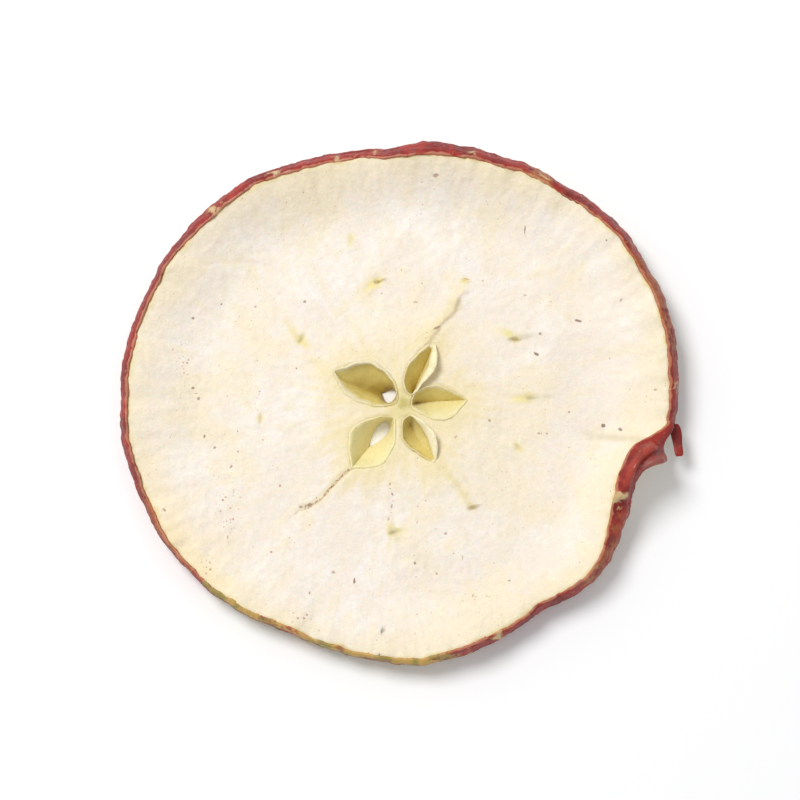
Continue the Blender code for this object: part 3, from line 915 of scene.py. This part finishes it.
class Nodes:
    # makes nodes in one tree, where a value is a number, a colour or a socket
    def __init__(self, tree, look=None, base=None):
        self.tree = tree
        self.look = look
        self.colour = self.tint(base) if base else None

    def feed(self, value, socket):
        if hasattr(value, "is_output"):
            self.tree.links.new(value, socket)
        else:
            socket.default_value = value

    def add(self, kind, inputs=None, **settings):
        node = self.tree.nodes.new(kind)
        for key, value in settings.items():
            setattr(node, key, value)
        for key, value in (inputs or {}).items():
            self.feed(value, node.inputs[key])
        return node

    def place(self):
        # object coordinates, in metres, from one node in each tree
        source = self.tree.nodes.get("place") or self.add("ShaderNodeTexCoord", name="place")
        return source.outputs["Object"]

    def mask(self, name, output="Fac"):
        return self.add("ShaderNodeAttribute", attribute_name=name).outputs[output]

    def parts(self, name):
        return self.add("ShaderNodeSeparateXYZ", {0: self.mask(name, "Vector")}).outputs

    def maths(self, operation, *values):
        return self.add("ShaderNodeMath", dict(enumerate(values)), operation=operation).outputs[0]

    def times(self, first, *others):
        for other in others:
            first = self.maths("MULTIPLY", first, other)
        return first

    def shift(self, value, amount, source):
        # moves a value up and down with a noise about 0.5
        return self.maths("MULTIPLY_ADD", self.maths("SUBTRACT", source, 0.5), amount, value)

    def apart(self, value, place):
        return self.maths("ABSOLUTE", self.maths("SUBTRACT", value, place))

    def length(self, *values):
        squares = [self.maths("POWER", value, 2.0) for value in values]
        return self.maths("SQRT", self.maths("ADD", *squares))

    def span(self, value, low, high, toLow=0.0, toHigh=1.0):
        inputs = dict(enumerate((value, low, high, toLow, toHigh)))
        return self.add("ShaderNodeMapRange", inputs, interpolation_type="SMOOTHSTEP").outputs[0]

    def blend(self, share, first, second, kind="MIX"):
        # 6 and 7 are the colour sockets of a Mix node
        return self.add("ShaderNodeMix", {"Factor": share, 6: first, 7: second},
                        data_type="RGBA", blend_type=kind, clamp_factor=True).outputs[2]

    def tint(self, name):
        return (*self.look[name], 1.0)

    def lay(self, tint, share, kind="MIX"):
        # lays a tint of the look, or a colour socket, over the colour so far
        over = self.tint(tint) if isinstance(tint, str) else tint
        self.colour = self.blend(share, self.colour, over, kind)

    def noise(self, size, detail, roughness=0.55, distortion=0.0):
        # size is the feature size in mm
        inputs = {"Vector": self.place(), "Scale": 1000.0 / size, "Detail": detail,
                  "Roughness": roughness, "Distortion": distortion}
        return self.add("ShaderNodeTexNoise", inputs).outputs["Fac"]

    def group(self, tree, values):
        return self.add("ShaderNodeGroup", values, node_tree=tree).outputs

    def flecks(self, spacing, radius, share):
        return self.group(fleckGroup, {"Spacing": spacing, "Radius": radius, "Share": share})["Fleck"]

    def finish(self, settings, relief=(), strength=0.0, distance=0.0):
        # relief is the heights of the bump, each with its share
        inputs = {"Base Color": self.colour, **settings}
        if relief:
            height = 0.0
            for source, share in relief:
                height = self.maths("MULTIPLY_ADD", source, share, height)
            bump = self.add("ShaderNodeBump", {"Strength": strength, "Distance": distance, "Height": height})
            inputs["Normal"] = bump.outputs["Normal"]
        for label, value in inputs.items():
            self.feed(value, self.tree.nodes["Principled BSDF"].inputs[label])


def newLook(name, look, base):
    material = bpy.data.materials.new(name)
    material.use_nodes = True
    return material, Nodes(material.node_tree, look, base)


def newGroup(name, inputs, outputs):
    group = bpy.data.node_groups.new(name, "ShaderNodeTree")
    for label, value in inputs.items():
        socket = group.interface.new_socket(label, in_out="INPUT", socket_type="NodeSocketFloat")
        socket.default_value = value
    for label in outputs:
        group.interface.new_socket(label, in_out="OUTPUT", socket_type="NodeSocketFloat")
    nodes = Nodes(group)
    return group, nodes, nodes.add("NodeGroupInput").outputs, nodes.add("NodeGroupOutput").inputs


def makeGrainGroup():
    # dry cell grain: a fine even grain and a broader soft mottle
    group, nodes, entry, leave = newGroup(
        "dryGrain", {"Grain size": 0.35, "Mottle size": 4.0}, ("Grain", "Mottle"))
    for name, detail in (("Grain", 5.0), ("Mottle", 3.0)):
        scale = nodes.maths("DIVIDE", 1000.0, entry[name + " size"])
        grain = nodes.add("ShaderNodeTexNoise", {"Vector": nodes.place(), "Scale": scale, "Detail": detail})
        nodes.feed(grain.outputs["Fac"], leave[name])
    return group


def makeFleckGroup():
    # scattered round flecks: few cells of a grid hold one
    group, nodes, entry, leave = newGroup(
        "flecks", {"Spacing": 1.0, "Radius": 0.12, "Share": 0.2}, ("Fleck",))
    wobble = nodes.add("ShaderNodeTexNoise", {"Vector": nodes.place(), "Scale": 2600.0})
    shifted = nodes.add(
        "ShaderNodeVectorMath", {0: wobble.outputs["Color"], 1: (0.00018, 0.00018, 0.00018), 2: nodes.place()},
        operation="MULTIPLY_ADD")
    scale = nodes.maths("DIVIDE", 1000.0, entry["Spacing"])
    cells = nodes.add("ShaderNodeTexVoronoi", {"Vector": shifted.outputs[0], "Scale": scale}, feature="F1")
    chance, bigness, _ = nodes.add("ShaderNodeSeparateColor", {0: cells.outputs["Color"]}).outputs
    far = nodes.times(cells.outputs["Distance"], entry["Spacing"])
    size = nodes.times(entry["Radius"], nodes.maths("MULTIPLY_ADD", bigness, 0.8, 0.5))
    inside = nodes.span(far, size, nodes.times(size, 0.45))
    chosen = nodes.maths("LESS_THAN", chance, entry["Share"])
    nodes.feed(nodes.times(inside, chosen), leave["Fleck"])
    return group


grainGroup = makeGrainGroup()
fleckGroup = makeFleckGroup()



fleshLook = {
    "cream": (0.885, 0.795, 0.685),
    "cool": (0.915, 0.845, 0.775),
    "straw": (0.880, 0.770, 0.555),
    "blush": (0.860, 0.725, 0.645),
    "warm": (0.900, 0.735, 0.430),
    "coreYellow": (0.860, 0.735, 0.440),
    "hubYellow": (0.78, 0.66, 0.33),
    "hubGreen": (0.52, 0.46, 0.14),
    "edgeYellow": (0.80, 0.66, 0.27),
    "edgePeach": (0.78, 0.47, 0.27),
    "veinYellow": (0.84, 0.72, 0.33),
    "veinGrey": (0.68, 0.61, 0.43),
    "veinDot": (0.36, 0.25, 0.08),
    "crackBrown": (0.33, 0.13, 0.06),
    "shade": (0.50, 0.34, 0.17),
    "fleckPink": (0.52, 0.27, 0.19),
    "fleckDark": (0.23, 0.13, 0.09),
    "roughness": 0.72,
}


def makeFleshLook():
    material, nodes = newLook("driedFlesh", fleshLook, "cream")
    span, mask, maths, times, lay = nodes.span, nodes.mask, nodes.maths, nodes.times, nodes.lay
    grain = nodes.group(grainGroup, {"Grain size": 0.45, "Mottle size": 5.0})
    fine, patch = nodes.noise(0.24, 3.0), nodes.noise(1.1, 4.0)
    soft, broad = nodes.noise(2.6, 3.0), nodes.noise(10.0, 2.0)
    streak = mask("streak")

    def jitter(value, amount, source=patch):
        return nodes.shift(value, amount, source)

    def broken(low, high, least, amount=0.8):
        # a share that breaks up a line or a cloud
        return span(jitter(patch, amount, fine), low, high, least, 1.0)

    # broad cool and straw areas on the cream, with a soft blush
    lay("cool", span(jitter(grain["Mottle"], 0.5, soft), 0.40, 0.62))
    lay("straw", span(jitter(broad, 0.5, soft), 0.46, 0.66, 0.0, 0.7))
    lay("blush", span(patch, 0.52, 0.72, 0.0, 0.38))
    lay("straw", span(streak, 0.05, 0.6, 0.0, 0.35))
    # yellow round the cells, with thin pale layers
    halo = jitter(jitter(mask("hubFar"), 9.0, broad), 6.0, soft)
    lay("straw", span(halo, 15.0, 6.0, 0.0, 0.6))
    cellFar = maths("MULTIPLY_ADD", streak, -1.8, jitter(jitter(mask("cellFar"), 3.4, soft), 1.6))
    lay("coreYellow", span(cellFar, 4.4, 0.0, 0.0, 0.85))
    waves = maths("SINE", maths("MULTIPLY_ADD", mask("cellFar"), 11.0, times(soft, 14.0)))
    shown = span(jitter(mask("layerShare"), 1.5, soft), 0.0, 0.8, 0.1, 1.2)
    lay("cool", times(span(waves, 0.2, 1.0, 0.0, 0.5), span(mask("cellFar"), 1.8, 0.3), shown))
    hubFar = jitter(mask("hubFar"), 1.3)
    lay("hubYellow", span(hubFar, 3.2, 1.4, 0.0, 0.9))
    lay("hubGreen", span(hubFar, 1.1, 0.2, 0.0, 0.9))
    # warmer inside the skin
    rimNear = jitter(jitter(mask("rimNear"), 1.6, soft), 0.6)
    lay("straw", span(rimNear, 5.0, 1.2, 0.0, 0.55))
    lay("edgeYellow", span(rimNear, 1.35, 0.70, 0.0, 0.6))
    lay("edgePeach", span(rimNear, 0.85, 0.55, 0.0, 0.55))
    lay("warm", times(mask("warmEdge"), span(jitter(soft, 0.6), 0.30, 0.62, 0.35, 1.0), 0.75))
    # bundles
    lay("veinYellow", span(times(mask("veinYellow"), broken(0.25, 0.6, 0.25)), 0.04, 1.5, 0.0, 0.9))
    lay("veinGrey", span(times(mask("veinGrey"), broken(0.25, 0.6, 0.2)), 0.08, 1.4, 0.0, 0.65))
    along, across, strength = nodes.parts("veinOffset")
    far = nodes.length(times(along, 0.5), times(across, 1.4))
    dot = span(jitter(jitter(far, 0.9), 0.5, fine), 0.55, 0.0)
    lay("veinDot", times(dot, strength, 0.85))
    # creases: name, half width, strength, how dotted, tint
    for name, width, strength, dotted, tint in (
            ("crack", 0.24, 0.95, 0.75, "crackBrown"), ("seam", 0.16, 0.35, 0.6, "veinGrey")):
        far = jitter(mask(name + "Far"), 0.5)
        fade = span(mask(name + "Run"), 1.0, 0.5)
        lay("coreYellow", times(span(far, 3.5 * width, width, 0.0, 0.55), fade))
        beads = broken(0.42, 0.60, 1.0 - dotted, 0.9)
        lay(tint, times(span(far, width, 0.3 * width, 0.0, strength), fade, beads))
    side = jitter(mask("ridgeSide"), 0.5)
    fade = times(span(mask("ridgeRun"), 1.0, 0.5), span(mask("ridgeFar"), 2.0, 1.2))
    lay("coreYellow", times(span(nodes.apart(side, 0.25), 0.9, 0.1, 0.0, 0.7), fade))
    below = span(nodes.apart(side, -0.30), 0.36, 0.06, 0.0, 0.5)
    lay("shade", times(below, fade, broken(0.35, 0.6, 0.35)))
    # painted shade: the veins' grey laid along the fold's valley
    side = nodes.apart(jitter(mask("foldSide"), 0.5), 0.1)
    fade = times(span(mask("foldRun"), 1.0, 0.45), span(mask("foldFar"), 2.0, 1.2))
    lay("veinGrey", times(span(side, 0.8, 0.1, 0.0, 0.6), fade))
    # flecks: tint, spacing, radius, share of the grid's cells, strength
    for tint, spacing, radius, share, strength in (
            ("fleckPink", 0.95, 0.11, 0.36, span(jitter(broad, 0.6, soft), 0.44, 0.62, 0.2, 0.85)),
            ("fleckPink", 0.55, 0.085, 0.40, span(jitter(grain["Mottle"], 0.5, broad), 0.47, 0.64, 0.0, 0.8)),
            ("fleckPink", 0.46, 0.16, 0.8, span(jitter(mask("fleckCluster"), 0.7), 0.15, 0.6, 0.0, 0.8)),
            ("fleckDark", 2.6, 0.16, 0.30, 0.7)):
        lay(tint, times(nodes.flecks(spacing, radius, share), strength))
    along, across, tone = nodes.parts("speckOffset")
    speck = span(jitter(nodes.length(along, across), 1.1, fine), 1.15, 0.55)
    speckTint = nodes.blend(tone, nodes.tint("fleckPink"), nodes.tint("fleckDark"))
    lay(speckTint, times(speck, maths("MULTIPLY_ADD", tone, 0.55, 0.30)))
    # packed pulp cells, a little lighter in their middles
    pulp = nodes.add("ShaderNodeTexVoronoi", {"Vector": nodes.place(), "Scale": 1500.0, "Smoothness": 0.6},
                     feature="SMOOTH_F1").outputs["Distance"]
    shade = maths("ADD", span(fine, 0.25, 0.75, 0.972, 1.022), span(pulp, 0.15, 0.75, 0.012, -0.014))
    shade = maths("ADD", shade, span(patch, 0.35, 0.65, -0.018, 0.014))
    grey = nodes.add("ShaderNodeCombineColor", {0: shade, 1: shade, 2: shade})
    lay(grey.outputs[0], 1.0, "MULTIPLY")
    # fine relief: grain, pulp cells, a web of thin wrinkles, dents at the specks
    web = span(nodes.apart(nodes.noise(1.5, 3.0), 0.5), 0.06, 0.0, 0.0, 0.9)
    nodes.finish(
        {"Roughness": fleshLook["roughness"], "Specular IOR Level": 0.25, "Subsurface Weight": 0.12,
         "Subsurface Radius": (0.0010, 0.0006, 0.0003), "Subsurface Scale": 1.0},
        ((grain["Grain"], 0.8), (fine, 0.35), (pulp, -0.35), (web, 0.18), (speck, -0.5)), 0.5, 0.00015)
    return material


skinLook = {
    "red": (0.375, 0.029, 0.019),
    "deepRed": (0.20, 0.012, 0.009),
    "highlightRed": (0.46, 0.085, 0.052),
    "orange": (0.38, 0.100, 0.032),
    "gold": (0.57, 0.35, 0.085),
    "olive": (0.30, 0.25, 0.05),
    "pale": (0.74, 0.60, 0.30),
    "peach": (0.62, 0.28, 0.15),
    "mauve": (0.30, 0.095, 0.080),
    "roughness": 0.50,
}


def makeSkinLook():
    material, nodes = newLook("driedSkin", skinLook, "deepRed")
    span, mask, times, lay = nodes.span, nodes.mask, nodes.times, nodes.lay
    grain = nodes.group(grainGroup, {"Grain size": 0.4, "Mottle size": 2.4})
    patch, fine = nodes.noise(1.5, 5.0), nodes.noise(0.5, 4.0)
    uneven = nodes.shift(nodes.shift(0.0, 1.7, patch), 0.9, fine)

    def patchy(name, strength=1.0, softness=0.3):
        # a share that breaks up into patches at its ends
        amount = nodes.maths("ADD", uneven, mask(name + "Share"))
        return span(amount, 0.5 - softness / 2.0, 0.5 + softness / 2.0, 0.0, strength)

    lay("red", span(grain["Mottle"], 0.34, 0.60))
    lay("deepRed", span(mask("runStreak"), -0.5, 0.6, 0.45, 0.0))
    # painted highlight: a lighter red where wrinkles and folds stand out
    lay("highlightRed", span(mask("crest"), 0.0, 0.9, 0.0, 0.4))
    lay("mauve", patchy("mauve", 0.8))
    lay("orange", patchy("orange"))
    ground = span(grain["Mottle"], 0.42, 0.60)
    lay(nodes.blend(ground, nodes.tint("olive"), nodes.tint("gold")), patchy("olive"))
    lay("pale", patchy("pale", 0.75, 0.45))
    lay("deepRed", patchy("dark", 0.65))
    # pale edges of the band, and small scars
    lip = span(nodes.shift(mask("lipNear"), 0.7, patch), 0.02, -0.10, 0.0, 0.55)
    lay("peach", times(lip, span(mask("oliveShare"), 0.2, 0.8, 1.0, 0.3)))
    lay("peach", times(nodes.flecks(1.3, 0.12, 0.40), 0.45))
    middle = skinLook["roughness"]
    rough = span(grain["Grain"], 0.3, 0.7, middle - 0.08, middle + 0.12)
    rough = nodes.maths("MULTIPLY_ADD", mask("glossShare"), -0.24, rough)
    nodes.finish(
        {"Roughness": rough, "Specular IOR Level": 0.36, "Coat Weight": 0.06, "Coat Roughness": 0.2},
        ((grain["Grain"], 0.7), (patch, 0.4), (fine, 0.35)), 0.5, 0.00016)
    return material


paperLook = {
    "lip": (0.90, 0.82, 0.60),
    "lowLip": (0.84, 0.745, 0.49),
    "paintedLitWall": (0.90, 0.80, 0.42),
    "wall": (0.71, 0.57, 0.18),
    "deep": (0.42, 0.29, 0.055),
    "spot": (0.36, 0.20, 0.06),
    "roughness": 0.48,
}


def makePaperLook():
    material, nodes = newLook("cellPaper", paperLook, "lowLip")
    span, mask, lay = nodes.span, nodes.mask, nodes.lay
    grain = nodes.group(grainGroup, {"Grain size": 0.3, "Mottle size": 1.8})
    fibre = nodes.noise(0.35, 3.0, 0.6, 1.2)
    depth = mask("paperDepth")
    uneven = nodes.shift(depth, 0.45, grain["Mottle"])
    lay("lip", span(nodes.shift(mask("lipHigh"), 1.6, grain["Mottle"]), 0.0, 0.8))
    # the walls turn tan, then olive, deeper into the cell: partly the paper's own colour, partly painted shade in
    # the hollow
    lay("wall", span(uneven, 0.17, 0.40))
    lay("deep", span(uneven, 0.50, 1.0))
    # painted light: the walls on the key lamp's side are painted lighter
    lay("paintedLitWall", mask("paperPaintedLight"))
    lay("deep", span(fibre, 0.52, 0.70, 0.0, 0.25))
    lay("spot", nodes.times(nodes.flecks(1.2, 0.14, 0.25), span(depth, 0.3, 0.6, 0.0, 0.6)))
    nodes.finish(
        {"Roughness": paperLook["roughness"], "Specular IOR Level": 0.35, "Subsurface Weight": 0.15,
         "Subsurface Radius": (0.0005, 0.0005, 0.0004), "Subsurface Scale": 1.0},
        ((fibre, 0.6), (grain["Grain"], 0.5)), 0.45, 0.00012)
    return material


# Stage

stagePlan = {
    "floorSize": 3.0,
    "floorColour": (0.97, 0.97, 0.97),
    "floorGlow": (0.12, 0.50, 0.0, 0.55),   # from and to this far out, glow at each
    "worldColour": (0.98, 0.99, 1.0, 1.0),
    "worldStrength": 0.55,
    "keyPlace": (-0.26, 0.22, 0.53),
    "keySize": 0.28,
    "keyPower": 2.72,
    "lens": 100.0,
    "sensor": 36.0,
    "nearest": 0.01,
    "frameWidth": 0.100,
    "elevation": 80.0,
}


def aimAt(data, place, target):
    # puts a lamp or a camera at a place, turned to the target
    thing = bpy.data.objects.new(data.name, data)
    thing.location = place
    thing.rotation_euler = (Vector(target) - Vector(place)).to_track_quat("-Z", "Y").to_euler()
    bpy.context.scene.collection.objects.link(thing)
    return thing


def makeFloor():
    bm = bmesh.new()
    bmesh.ops.create_grid(bm, x_segments=1, y_segments=1, size=stagePlan["floorSize"] / 2.0)
    floor = toObject(bm, "floor")
    material, nodes = newLook("whiteFloor", stagePlan, "floorColour")
    # the sweep is lit from behind further out
    reach = nodes.add("ShaderNodeVectorMath", {0: nodes.place()}, operation="LENGTH")
    nodes.finish({"Roughness": 0.9, "Specular IOR Level": 0.1, "Emission Color": nodes.colour,
                  "Emission Strength": nodes.span(reach.outputs["Value"], *stagePlan["floorGlow"])})
    floor.data.materials.append(material)
    return floor


def makeStage():
    floor = makeFloor()

    world = bpy.data.worlds.new("softRoom")
    world.use_nodes = True
    nodes = Nodes(world.node_tree)
    back = world.node_tree.nodes["Background"]
    back.inputs["Color"].default_value = stagePlan["worldColour"]
    # the room looks white where it is seen itself
    strength = stagePlan["worldStrength"]
    seen = nodes.add("ShaderNodeLightPath").outputs["Is Camera Ray"]
    nodes.feed(nodes.maths("MULTIPLY_ADD", seen, 1.0 - strength, strength), back.inputs["Strength"])
    bpy.context.scene.world = world

    key = bpy.data.lights.new("key", "AREA")
    key.shape = "DISK"
    key.size = stagePlan["keySize"]
    key.energy = stagePlan["keyPower"]
    aimAt(key, stagePlan["keyPlace"], (0.0, 0.0, 0.0))

    camera = bpy.data.cameras.new("camera")
    camera.lens = stagePlan["lens"]
    camera.sensor_width = stagePlan["sensor"]
    camera.clip_start = stagePlan["nearest"]
    low, high = cadBox
    aim = Vector([(a + b) / 2.0 for a, b in zip(low, high)])
    far = stagePlan["frameWidth"] * stagePlan["lens"] / stagePlan["sensor"]
    tilt = math.radians(stagePlan["elevation"])
    place = aim + Vector((0.0, -math.cos(tilt), math.sin(tilt))) * far
    bpy.context.scene.camera = aimAt(camera, place, aim)
    bpy.context.scene.view_settings.view_transform = "Standard"


def dress(piece, material):
    piece.data.materials.clear()
    piece.data.materials.append(material)
    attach(piece, "root")
    print(piece.name, len(piece.data.polygons), "faces")


flesh = makeFlesh()
dress(flesh, makeFleshLook())
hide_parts("apple_slice")

papers = makePapers()
dress(papers, makePaperLook())

skin = makeSkin()
dress(skin, makeSkinLook())

makeStage()
